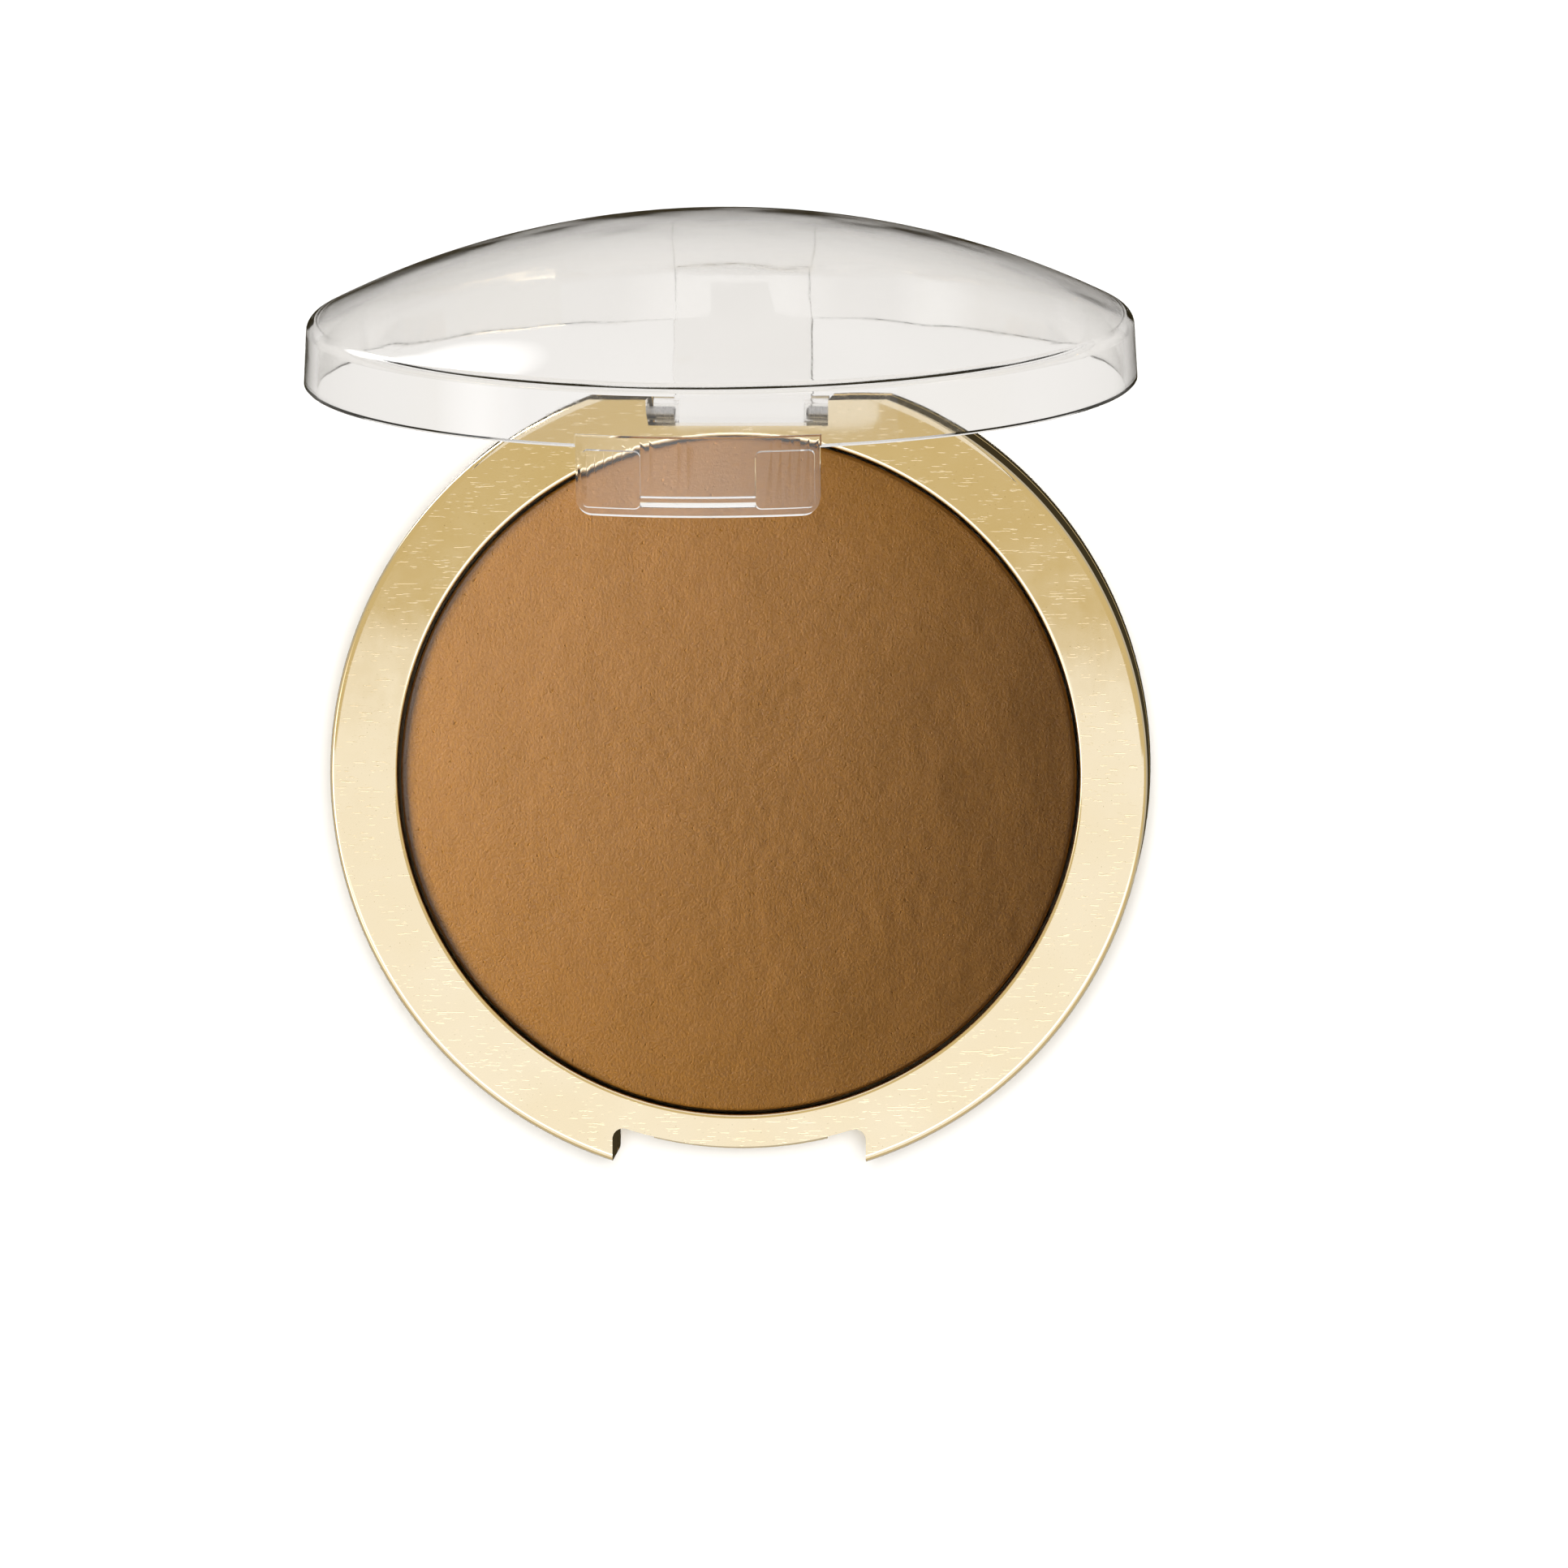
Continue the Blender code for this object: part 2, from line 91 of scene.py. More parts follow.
# Details of the mouldings, the same as in the CAD part.
WALL = 1.2 * MM
GAP = 0.3 * MM
SEAM_HEIGHT = 4.0 * MM
OPENING_RADIUS = 31.7 * MM
SKIRT_DEPTH = 2.6 * MM
SKIRT_WALL = 1.0 * MM
RING_OUTER_ROUND = 0.6 * MM
RING_INNER_ROUND = 0.35 * MM
SEAM_CHAMFER = 0.12 * MM
CHANNEL_SECTORS = ((-67.2, 59.7), (120.3, 247.2))
COVER_FLOOR = 1.4 * MM
COVER_ROUND = 0.8 * MM
TRAY_UNDERSIDE = 6.0 * MM
CARRIER_INNER = 27.0 * MM
CARRIER_OUTER = 28.4 * MM
SPIGOT_TOP = 6.0 * MM
SPIGOT_SECTORS = ((-63.4, 55.9), (124.1, 243.4))
NOTCH_WALL_SECTOR = (247.8, 292.2)
RECESS_WALL_HALF_WIDTH = 16.0 * MM
TRAY_WALL_HALF_WIDTH = 8.0 * MM
KNUCKLE_RADIUS = BACK_FLAT - HINGE_Y
SLOT_HALF_WIDTH = 8.5 * MM
CHEEK_END = 14.0 * MM
BORE_RADIUS = 1.0 * MM
NOTCH_HALF_WIDTH = 11.8 * MM
NOTCH_RADIUS = 34.7 * MM
NOTCH_FILLET = 1.0 * MM
RIDGE_HALF_WIDTH = 8.0 * MM
RIDGE_LOW = 8.6 * MM
RIDGE_HIGH = 9.4 * MM
RIDGE_PROUD = 0.5 * MM
PAN_RIM = 10.3 * MM
CAKE_EDGE = 11.75 * MM
CAKE_RISE = 1.75 * MM
CAKE_SHOULDER = 0.35 * MM
LID_RADIUS = 37.7 * MM
LID_WALL = 1.2 * MM
RIM_HEIGHT = 5.6 * MM
RIM_DRAFT = 0.25 * MM
DOME_RISE = 9.2 * MM
DOME_ROUND = 1.3 * MM
TAB_HALF_WIDTH = 10.75 * MM
TAB_LENGTH = 6.0 * MM
TAB_THICKNESS = 1.4 * MM
TAB_CORNER = 1.5 * MM
BEAD_HALF_WIDTH = 5.6 * MM
BEAD_DROP = 4.8 * MM
BEAD_RADIUS = 0.5 * MM
BLOCK_START = 5.0 * MM
BLOCK_END = 10.1 * MM
BLOCK_TOP_DROP = 0.4 * MM
BLOCK_LOW_DROP = 5.5 * MM
BLOCK_PROUD = 0.75 * MM
BLOCK_ROUND = 0.5 * MM
LEAF_HALF_WIDTH = 6.45 * MM
LEAF_CHAMFER = 0.35 * MM
GATE_MARK_RADIUS = 0.5 * MM
GATE_MARK_OFFSET = 0.6 * MM
GATE_MARK_DROP = 2.5 * MM
OPEN_ANGLE = hinge["range_deg"][1]

FRAME_BOTTOM = SEAM_HEIGHT + GAP / 2
COVER_TOP = SEAM_HEIGHT - GAP / 2
CHANNEL_INNER = OPENING_RADIUS + SKIRT_WALL
CHANNEL_OUTER = BASE_RADIUS - WALL
RIM_PLANE = BASE_HEIGHT + GAP

# Mesh fineness, the distance that welds vertices, and how far a cutter reaches past what it cuts.
SEGMENTS = 288
CHANNEL_SEGMENTS = 144
PIN_SEGMENTS = 48
HINGE_STEPS = 48
ROUND_STEPS = 8
WELD = 1e-6
REACH = 5 * MM


# Mesh building.

def arc(centre_a, centre_b, radius, start, end, steps):
    """Points of an arc in a plane, from one angle to another in degrees, with both ends."""
    angles = [radians(start + (end - start) * i / steps) for i in range(steps + 1)]
    return [(centre_a + radius * cos(a), centre_b + radius * sin(a)) for a in angles]


def object_from(bm, name):
    bmesh.ops.recalc_face_normals(bm, faces=bm.faces)
    mesh = bpy.data.meshes.new(name)
    bm.to_mesh(mesh)
    bm.free()
    made = bpy.data.objects.new(name, mesh)
    bpy.context.scene.collection.objects.link(made)
    return made


def turned(name, outline, start=0.0, end=360.0, segments=SEGMENTS):
    """A closed (radius, height) outline turned about Z, between two angles in degrees or all the way."""
    bm = bmesh.new()
    full = abs(end - start) > 359.9
    steps = max(2, round(segments * abs(end - start) / 360.0))
    count = steps if full else steps + 1
    rings = []
    for i in range(count):
        angle = radians(start + (end - start) * i / steps)
        rings.append([bm.verts.new((r * cos(angle), r * sin(angle), z)) for r, z in outline])
    size = len(outline)
    for i in range(steps):
        a, b = rings[i], rings[(i + 1) % count]
        for j in range(size):
            k = (j + 1) % size
            on_axis = max(outline[j][0], outline[k][0]) < WELD
            if on_axis:
                continue
            bm.faces.new((a[j], b[j], b[k], a[k]))
    if not full:
        bm.faces.new(rings[0])
        bm.faces.new(list(reversed(rings[-1])))
    bmesh.ops.remove_doubles(bm, verts=bm.verts, dist=WELD)
    return object_from(bm, name)


def prism(name, outline, low, high, axis="Z"):
    """An outline extruded along an axis: (x, y) along Z, (y, z) along X, or (x, z) along Y."""
    place = {
        "Z": lambda a, b, c: (a, b, c),
        "X": lambda a, b, c: (c, a, b),
        "Y": lambda a, b, c: (a, c, b),
    }[axis]
    bm = bmesh.new()
    near = [bm.verts.new(place(a, b, low)) for a, b in outline]
    far = [bm.verts.new(place(a, b, high)) for a, b in outline]
    bm.faces.new(near)
    bm.faces.new(list(reversed(far)))
    for i in range(len(outline)):
        k = (i + 1) % len(outline)
        bm.faces.new((near[i], far[i], far[k], near[k]))
    return object_from(bm, name)


def box_outline(low_a, high_a, low_b, high_b):
    return [(low_a, low_b), (high_a, low_b), (high_a, high_b), (low_a, high_b)]


def round_hole(name, centre, radius, low, high, axis, steps=HINGE_STEPS):
    """A straight cylinder that cuts a hole or stands as a barrel."""
    outline = arc(*centre, radius, 0, 360 - 360 / steps, steps - 1)
    return prism(name, outline, low, high, axis)


def rounded(outline, radius, steps=5):
    """An outline with every corner replaced by a small arc."""
    points = []
    count = len(outline)
    for i in range(count):
        before = Vector(outline[i - 1])
        corner = Vector(outline[i])
        after = Vector(outline[(i + 1) % count])
        into = (before - corner).normalized()
        away = (after - corner).normalized()
        half = into.angle(away) / 2
        shortest = min((before - corner).length, (after - corner).length)
        reach = min(radius / tan(half), shortest / 2.2)
        size = reach * tan(half)
        centre = corner + (into + away).normalized() * size / sin(half)
        start = corner + into * reach - centre
        end = corner + away * reach - centre
        first = atan2(start.y, start.x)
        swing = (atan2(end.y, end.x) - first + pi) % (2 * pi) - pi
        for k in range(steps + 1):
            a = first + swing * k / steps
            points.append((centre.x + size * cos(a), centre.y + size * sin(a)))
    return points


def combine(target, tool, operation):
    """Joins the tool to the target or cuts it away, and removes the tool."""
    modifier = target.modifiers.new("Boolean", "BOOLEAN")
    modifier.operation = operation
    modifier.solver = "EXACT"
    modifier.object = tool
    graph = bpy.context.evaluated_depsgraph_get()
    result = bpy.data.meshes.new_from_object(target.evaluated_get(graph))
    target.modifiers.clear()
    bm = bmesh.new()
    bm.from_mesh(result)
    bmesh.ops.remove_doubles(bm, verts=bm.verts, dist=WELD)
    bmesh.ops.dissolve_degenerate(bm, edges=bm.edges, dist=WELD)
    bm.to_mesh(result)
    bm.free()
    target.data = result
    bpy.data.objects.remove(tool, do_unlink=True)


def cut(target, tool):
    combine(target, tool, "DIFFERENCE")


def join(target, tool):
    combine(target, tool, "UNION")


def shade(piece, angle=30):
    piece.data.shade_smooth()
    piece.data.set_sharp_from_angle(angle=radians(angle))


# Material building.

def new_material(name):
    material = bpy.data.materials.new(name)
    material.use_nodes = True
    tree = material.node_tree
    shader = tree.nodes["Principled BSDF"]
    return material, tree, shader


def node(tree, kind, **inputs):
    made = tree.nodes.new(kind)
    for key, value in inputs.items():
        made.inputs[key.replace("_", " ")].default_value = value
    return made


def object_coordinates(tree, scale=(1, 1, 1), turn=0.0):
    """Object coordinates in millimetres, turned about Z by an angle in degrees and stretched by scale."""
    coordinates = tree.nodes.new("ShaderNodeTexCoord")
    mapping = tree.nodes.new("ShaderNodeMapping")
    mapping.inputs["Rotation"].default_value = (0.0, 0.0, radians(turn))
    mapping.inputs["Scale"].default_value = [1000 * s for s in scale]
    tree.links.new(coordinates.outputs["Object"], mapping.inputs["Vector"])
    return mapping.outputs["Vector"]


def noise_of(tree, vector, scale, detail=3.0, roughness=0.5):
    """Noise with about one lump every 1 / scale millimetres."""
    made = node(tree, "ShaderNodeTexNoise", Scale=scale, Detail=detail, Roughness=roughness)
    tree.links.new(vector, made.inputs["Vector"])
    return made.outputs["Fac"]


def ramp_of(tree, value, stops):
    """A colour that runs through the given (place, colour) stops as the value goes from 0 to 1."""
    made = tree.nodes.new("ShaderNodeValToRGB")
    ramp = made.color_ramp
    while len(ramp.elements) < len(stops):
        ramp.elements.new(0.5)
    for element, (place, colour) in zip(ramp.elements, stops):
        element.position = place
        element.color = (*colour, 1.0)
    tree.links.new(value, made.inputs["Fac"])
    return made.outputs["Color"]


def range_of(tree, value, low, high, out_low, out_high):
    """The value moved from one range to another and held within it."""
    made = node(tree, "ShaderNodeMapRange", From_Min=low, From_Max=high, To_Min=out_low, To_Max=out_high)
    tree.links.new(value, made.inputs["Value"])
    return made.outputs["Result"]


def tinted(tree, factor, base, tint):
    """A colour socket blended towards a tint by a factor socket."""
    made = tree.nodes.new("ShaderNodeMix")
    made.data_type = "RGBA"
    factor_input, base_input, tint_input = made.inputs[0], made.inputs[6], made.inputs[7]
    tree.links.new(factor, factor_input)
    tree.links.new(base, base_input)
    tint_input.default_value = (*tint, 1.0)
    return made.outputs[2]


def shader_mix(tree, factor, first, second):
    """A shader that turns from the first to the second as a factor socket goes from 0 to 1."""
    mix = tree.nodes.new("ShaderNodeMixShader")
    for socket, value in zip(mix.inputs, (factor, first, second)):
        tree.links.new(value, socket)
    return mix.outputs["Shader"]


def bumped(tree, height, distance, onto=None):
    """A normal bumped by a height of 0 to 1 times a distance, on top of another bump if one is given."""
    made = node(tree, "ShaderNodeBump", Distance=distance, Strength=1.0)
    tree.links.new(height, made.inputs["Height"])
    if onto is not None:
        tree.links.new(onto, made.inputs["Normal"])
    return made.outputs["Normal"]


def two_tones(tree, value, first, second, low=0.3, high=0.7):
    """A colour that runs from the first tone to the second as a value goes from low to high."""
    return ramp_of(tree, value, [(low, first), (high, second)])


def paint(tree, shader, colour=None, roughness=None, normal=None):
    """Links whichever of the three sockets are given to the shader."""
    for key, socket in (("Base Color", colour), ("Roughness", roughness), ("Normal", normal)):
        if socket is not None:
            tree.links.new(socket, shader.inputs[key])


def gold_material(name, tone_scale):
    """Metallised lacquer: nearly a mirror, with moulding waviness, fine scratches and a little dust."""
    material, tree, shader = new_material(name)
    place = object_coordinates(tree)
    tone = noise_of(tree, place, tone_scale, detail=2.0)
    colour = two_tones(tree, tone, (0.925, 0.790, 0.550), (0.945, 0.820, 0.595), 0.35, 0.65)
    specks = noise_of(tree, place, 5.5, detail=1.0, roughness=0.4)
    speck_mask = range_of(tree, specks, 0.735, 0.76, 0.0, 0.55)
    colour = tinted(tree, speck_mask, colour, (0.60, 0.47, 0.27))
    shader.inputs["Metallic"].default_value = 1.0
    haze = noise_of(tree, place, 0.35, detail=4.0, roughness=0.6)
    roughness = range_of(tree, haze, 0.3, 0.7, 0.045, 0.080)
    streaks = noise_of(tree, object_coordinates(tree, (0.5, 6.0, 6.0)), 1.3, detail=2.0)
    scratch = range_of(tree, streaks, 0.66, 0.70, 0.0, 1.0)
    waves = noise_of(tree, place, 0.085, detail=1.0, roughness=0.3)
    flow = noise_of(tree, object_coordinates(tree, (0.5, 0.09, 0.3), 25.0), 0.9, detail=2.0)
    soft = bumped(tree, flow, 0.009 * MM, onto=bumped(tree, waves, 0.022 * MM))
    paint(tree, shader, colour, roughness, bumped(tree, scratch, 0.0012 * MM, onto=soft))
    return material


def powder_material():
    """Pressed bronze powder: fine grained, with paler and darker flecks and a faint satin gloss."""
    material, tree, shader = new_material("bronze_powder")
    place = object_coordinates(tree)
    cloud = noise_of(tree, place, 0.10, detail=3.0, roughness=0.55)
    colour = two_tones(tree, cloud, (0.302, 0.127, 0.015), (0.326, 0.137, 0.019))
    grain = noise_of(tree, place, 4.0, detail=4.0, roughness=0.7)
    colour = tinted(tree, range_of(tree, grain, 0.35, 0.65, 0.0, 0.75), colour, (0.395, 0.178, 0.030))
    flecks = noise_of(tree, place, 2.6, detail=2.0, roughness=0.5)
    colour = tinted(tree, range_of(tree, flecks, 0.72, 0.77, 0.0, 0.45), colour, (0.16, 0.068, 0.018))
    roughness = range_of(tree, grain, 0.3, 0.7, 0.30, 0.40)
    shader.inputs["Specular IOR Level"].default_value = 0.12
    brush = noise_of(tree, object_coordinates(tree, (0.8, 2.6, 1.0), 38.0), 1.3, detail=3.0)
    pits = range_of(tree, flecks, 0.68, 0.76, 0.0, -1.0)
    brushed = bumped(tree, brush, 0.012 * MM)
    grained = bumped(tree, grain, 0.05 * MM, onto=brushed)
    paint(tree, shader, colour, roughness, bumped(tree, pits, 0.03 * MM, onto=grained))
    return material


def lid_material():
    """Clear styrene: a faint warm grey in the thickness, light scuffs and moulding waviness."""
    material, tree, shader = new_material("clear_lid")
    place = object_coordinates(tree)
    tone = noise_of(tree, place, 0.08, detail=2.0)
    colour = two_tones(tree, tone, (0.945, 0.940, 0.932), (0.965, 0.960, 0.953))
    shader.inputs["Transmission Weight"].default_value = 1.0
    shader.inputs["IOR"].default_value = 1.49
    scuff = noise_of(tree, object_coordinates(tree, (1.0, 3.0, 3.0)), 0.9, detail=5.0, roughness=0.65)
    roughness = range_of(tree, scuff, 0.45, 0.75, 0.012, 0.07)
    waves = noise_of(tree, place, 0.12, detail=1.0, roughness=0.3)
    paint(tree, shader, colour, roughness, bumped(tree, waves, 0.04 * MM))
    return material


def steel_material():
    """Bright drawn steel with fine rings round its length."""
    material, tree, shader = new_material("pin_steel")
    rings = noise_of(tree, object_coordinates(tree, (8.0, 0.4, 0.4)), 1.0, detail=3.0)
    colour = two_tones(tree, rings, (0.50, 0.50, 0.51), (0.66, 0.66, 0.67))
    shader.inputs["Metallic"].default_value = 1.0
    roughness = range_of(tree, rings, 0.3, 0.7, 0.22, 0.38)
    paint(tree, shader, colour, roughness, bumped(tree, rings, 0.004 * MM))
    return material


def aluminium_material():
    """Drawn aluminium: fine turning marks and a grey bloom."""
    material, tree, shader = new_material("pan_aluminium")
    place = object_coordinates(tree)
    bloom = noise_of(tree, place, 0.4, detail=4.0)
    colour = two_tones(tree, bloom, (0.66, 0.66, 0.65), (0.80, 0.80, 0.79))
    shader.inputs["Metallic"].default_value = 1.0
    marks = noise_of(tree, object_coordinates(tree, (1.0, 1.0, 12.0)), 1.5, detail=3.0)
    roughness = range_of(tree, marks, 0.3, 0.7, 0.28, 0.42)
    paint(tree, shader, colour, roughness, bumped(tree, marks, 0.006 * MM))
    return material


def tray_material():
    """Moulded plastic with a fine spark-eroded texture."""
    material, tree, shader = new_material("tray_plastic")
    place = object_coordinates(tree)
    tone = noise_of(tree, place, 0.3, detail=3.0)
    colour = two_tones(tree, tone, (0.60, 0.50, 0.34), (0.68, 0.58, 0.41))
    texture = noise_of(tree, place, 6.0, detail=3.0, roughness=0.7)
    roughness = range_of(tree, texture, 0.3, 0.7, 0.40, 0.55)
    paint(tree, shader, colour, roughness, bumped(tree, texture, 0.012 * MM))
    return material


def foam_material():
    """Closed-cell adhesive foam."""
    material, tree, shader = new_material("adhesive_foam")
    cells = node(tree, "ShaderNodeTexVoronoi", Scale=3.5)
    tree.links.new(object_coordinates(tree), cells.inputs["Vector"])
    distance = cells.outputs["Distance"]
    colour = two_tones(tree, distance, (0.70, 0.69, 0.63), (0.84, 0.83, 0.78), 0.1, 0.6)
    roughness = range_of(tree, distance, 0.0, 0.7, 0.8, 0.95)
    paint(tree, shader, colour, roughness, bumped(tree, distance, 0.05 * MM))
    return material


# The base.

def notch_outline():
    """The thumb notch from above: straight sides, small fillets and a wall round the base's axis."""
    centre_x = NOTCH_HALF_WIDTH - NOTCH_FILLET
    centre_y = -sqrt((NOTCH_RADIUS + NOTCH_FILLET) ** 2 - centre_x**2)
    turn = degrees(atan2(-centre_y, -centre_x))
    reach = degrees(atan2(centre_y, centre_x))
    outer = -BASE_RADIUS - REACH
    right = arc(centre_x, centre_y, NOTCH_FILLET, 0, turn, 10)
    # An odd number of steps keeps the cutter's vertices off the ring's own.
    inner = arc(0, 0, NOTCH_RADIUS, reach, -180 - reach, 41)
    left = [(-x, y) for x, y in reversed(right)]
    return [(NOTCH_HALF_WIDTH, outer)] + right + inner[1:-1] + left + [(-NOTCH_HALF_WIDTH, outer)]


def cut_notch(part):
    cut(part, prism("notch", notch_outline(), -REACH, BASE_HEIGHT + REACH))


def hinge_slot(inner, low, high):
    """A cutter as wide as the hinge slot, from an inner place out past the back of the base."""
    outline = box_outline(-SLOT_HALF_WIDTH, SLOT_HALF_WIDTH, inner, BASE_RADIUS + REACH)
    return prism("slot", outline, low, high)


def back_flat(low, high):
    """A cutter that takes the back of the base off at the flat behind the hinge."""
    outline = box_outline(-BASE_RADIUS, BASE_RADIUS, BACK_FLAT, BASE_RADIUS + REACH)
    return prism("flat", outline, low, high)


def ring_outline():
    """The frame's (radius, height) outline: skirt, rounded face and outer wall.

    A support point beside each round keeps the flat face's shading flat.
    """
    support = 0.06 * MM
    skirt_end = BASE_HEIGHT - SKIRT_DEPTH
    face_inner = OPENING_RADIUS + RING_INNER_ROUND
    face_outer = BASE_RADIUS - RING_OUTER_ROUND
    inner_round_z = BASE_HEIGHT - RING_INNER_ROUND
    outer_round_z = BASE_HEIGHT - RING_OUTER_ROUND
    return (
        [(OPENING_RADIUS, skirt_end), (OPENING_RADIUS, inner_round_z - support)]
        + arc(face_inner, inner_round_z, RING_INNER_ROUND, 180, 90, ROUND_STEPS)
        + [(face_inner + support, BASE_HEIGHT), (face_outer - support, BASE_HEIGHT)]
        + arc(face_outer, outer_round_z, RING_OUTER_ROUND, 90, 0, 10)
        + [(BASE_RADIUS, outer_round_z - support), (BASE_RADIUS, FRAME_BOTTOM + SEAM_CHAMFER)]
        + [(BASE_RADIUS - SEAM_CHAMFER, FRAME_BOTTOM)]
        + [(CHANNEL_INNER, FRAME_BOTTOM), (CHANNEL_INNER, skirt_end)]
    )


def cut_channels(ring):
    """Hollows the frame between skirt and outer wall on either side of notch and hinge."""
    inner = CHANNEL_INNER - 0.1 * MM
    outline = box_outline(inner, CHANNEL_OUTER, FRAME_BOTTOM - MM, BASE_HEIGHT - WALL)
    for start, end in CHANNEL_SECTORS:
        cut(ring, turned("channel", outline, start, end, CHANNEL_SEGMENTS))


def catch_ridge():
    """The low ridge on the notch's wall that the latch bead snaps under."""
    root = NOTCH_RADIUS - RIDGE_PROUD
    foot = NOTCH_RADIUS + 0.2 * MM
    crest = (NOTCH_RADIUS + RIDGE_PROUD, (RIDGE_LOW + RIDGE_HIGH) / 2)
    outline = [(root, RIDGE_LOW), (foot, RIDGE_LOW), crest, (foot, RIDGE_HIGH), (root, RIDGE_HIGH)]
    reach = degrees(asin(RIDGE_HALF_WIDTH / NOTCH_RADIUS))
    return turned("ridge", outline, 270 - reach, 270 + reach)


def cut_hinge_room(ring):
    """Takes out the back flat and the room for the lid's leaf and knuckle."""
    above = BASE_HEIGHT + MM
    leaf_room = OPENING_RADIUS + 1.05 * MM
    knuckle_room = HINGE_Y - KNUCKLE_RADIUS - GAP
    cut(ring, back_flat(0, above))
    cut(ring, hinge_slot(leaf_room, 0, above))
    cut(ring, hinge_slot(knuckle_room, 0, TRAY_UNDERSIDE + MM))


def hinge_cheek(side):
    """A cheek that carries one pin: round below the hinge axis and square above it."""
    top = TRAY_UNDERSIDE - GAP
    outline = arc(HINGE_Y, HINGE_Z, KNUCKLE_RADIUS, 180, 360, HINGE_STEPS // 2)
    outline += [(BACK_FLAT, top), (HINGE_Y - KNUCKLE_RADIUS, top)]
    ends = sorted((side * SLOT_HALF_WIDTH, side * CHEEK_END))
    return prism("cheek", outline, *ends, axis="X")


def frame_ring():
    """The gold ring: face, outer wall, skirt, thumb notch with its catch ridge, and hinge cheeks."""
    ring = turned("frame_ring", ring_outline())
    cut_channels(ring)
    cut_notch(ring)
    join(ring, catch_ridge())
    cut_hinge_room(ring)
    for side in (-1, 1):
        join(ring, hinge_cheek(side))
    bore_end = CHEEK_END + 0.6 * MM
    cut(ring, round_hole("bore", (HINGE_Y, HINGE_Z), BORE_RADIUS, -bore_end, bore_end, "X"))
    return ring


def cover_outline():
    """The cover's (radius, height) outline: floor, low outer wall and the ring that carries the tray."""
    carrier_top = TRAY_UNDERSIDE - GAP
    return (
        [(0, COVER_BOTTOM)]
        + arc(BASE_RADIUS - COVER_ROUND, COVER_ROUND, COVER_ROUND, -90, 0, ROUND_STEPS)
        + [(BASE_RADIUS, COVER_TOP - SEAM_CHAMFER), (BASE_RADIUS - SEAM_CHAMFER, COVER_TOP)]
        + [(CHANNEL_OUTER, COVER_TOP), (CHANNEL_OUTER, COVER_FLOOR), (CARRIER_OUTER, COVER_FLOOR)]
        + [(CARRIER_OUTER, carrier_top), (CARRIER_INNER, carrier_top)]
        + [(CARRIER_INNER, COVER_FLOOR), (0, COVER_FLOOR)]
    )


def add_spigots(cover):
    """Two curved spigots that enter the frame's hollows, and the solid wall below the notch."""
    root = COVER_FLOOR / 2
    outer = CHANNEL_OUTER - GAP
    spigot = box_outline(outer - MM, outer, root, SPIGOT_TOP)
    for start, end in SPIGOT_SECTORS:
        join(cover, turned("spigot", spigot, start, end, CHANNEL_SEGMENTS))
    front = box_outline(CHANNEL_INNER + GAP, CHANNEL_OUTER + 0.5 * MM, root, COVER_TOP)
    join(cover, turned("notch_wall", front, *NOTCH_WALL_SECTOR, CHANNEL_SEGMENTS))


def cut_recess(cover):
    """Clears the room for the hinge cheeks and closes it towards the inside with a wall."""
    front = HINGE_Y - KNUCKLE_RADIUS - GAP
    side = CHEEK_END + GAP
    outline = box_outline(-side, side, front, BASE_RADIUS + MM)
    cut(cover, prism("recess", outline, COVER_FLOOR, BASE_HEIGHT))
    walls = ((RECESS_WALL_HALF_WIDTH, COVER_TOP), (TRAY_WALL_HALF_WIDTH, TRAY_UNDERSIDE - GAP))
    for half_width, top in walls:
        wall = box_outline(-half_width, half_width, front - WALL, front)
        join(cover, prism("rear_wall", wall, COVER_FLOOR / 2, top))
    cut(cover, back_flat(-MM, BASE_HEIGHT))
    cut(cover, hinge_slot(front, -MM, BASE_HEIGHT))


def lower_cover():
    """The lower shell: floor, low wall, two spigots that enter the frame, and a ring for the pan tray."""
    cover = turned("lower_cover", cover_outline())
    add_spigots(cover)
    cut_notch(cover)
    cut_recess(cover)
    return cover


def cake_outline():
    """The cake's (radius, height) outline: straight inside the pan, a shoulder and a shallow crown."""
    inside_pan = CAKE_RADIUS - 0.55 * MM
    foot = 0.6 * MM
    crown_edge = CAKE_RADIUS - CAKE_SHOULDER
    crown_radius = (crown_edge**2 + CAKE_RISE**2) / (2 * CAKE_RISE)
    crown_centre = CAKE_EDGE + CAKE_RISE - crown_radius
    lean = 90 - degrees(asin(crown_edge / crown_radius))
    return (
        [(0, CAKE_BOTTOM), (inside_pan - foot, CAKE_BOTTOM), (inside_pan, CAKE_BOTTOM + foot)]
        + [(inside_pan, PAN_RIM + 0.2 * MM), (CAKE_RADIUS, PAN_RIM + 0.3 * MM)]
        + arc(crown_edge, CAKE_EDGE - CAKE_SHOULDER, CAKE_SHOULDER, 0, lean, ROUND_STEPS)
        + arc(0, crown_centre, crown_radius, lean, 90, 90)[1:]
    )


def powder_cake():
    """The cake, with the faint unevenness of a pressed face."""
    cake = turned("powder_cake", cake_outline())
    depth = 0.035 * MM
    face_low = BASE_HEIGHT - 0.8 * MM
    slow_lumps, fine_lumps = 180.0, 900.0
    for vertex in cake.data.vertices:
        if vertex.co.z < face_low:
            continue
        slow = noise.noise(vertex.co * slow_lumps)
        fine = noise.noise(vertex.co * fine_lumps)
        vertex.co.z += min(0.0, (slow + 0.5 * fine - 0.6) * depth)
    return cake


# The lid.

def round_under_dome(dome_radius, dome_centre, side, radius):
    """The (radius, height) centre of a round between dome and side, and the angle where it meets the dome."""
    centre_r = side - radius
    centre_z = dome_centre + sqrt((dome_radius - radius) ** 2 - centre_r**2)
    return centre_r, centre_z, degrees(atan2(centre_z - dome_centre, centre_r))


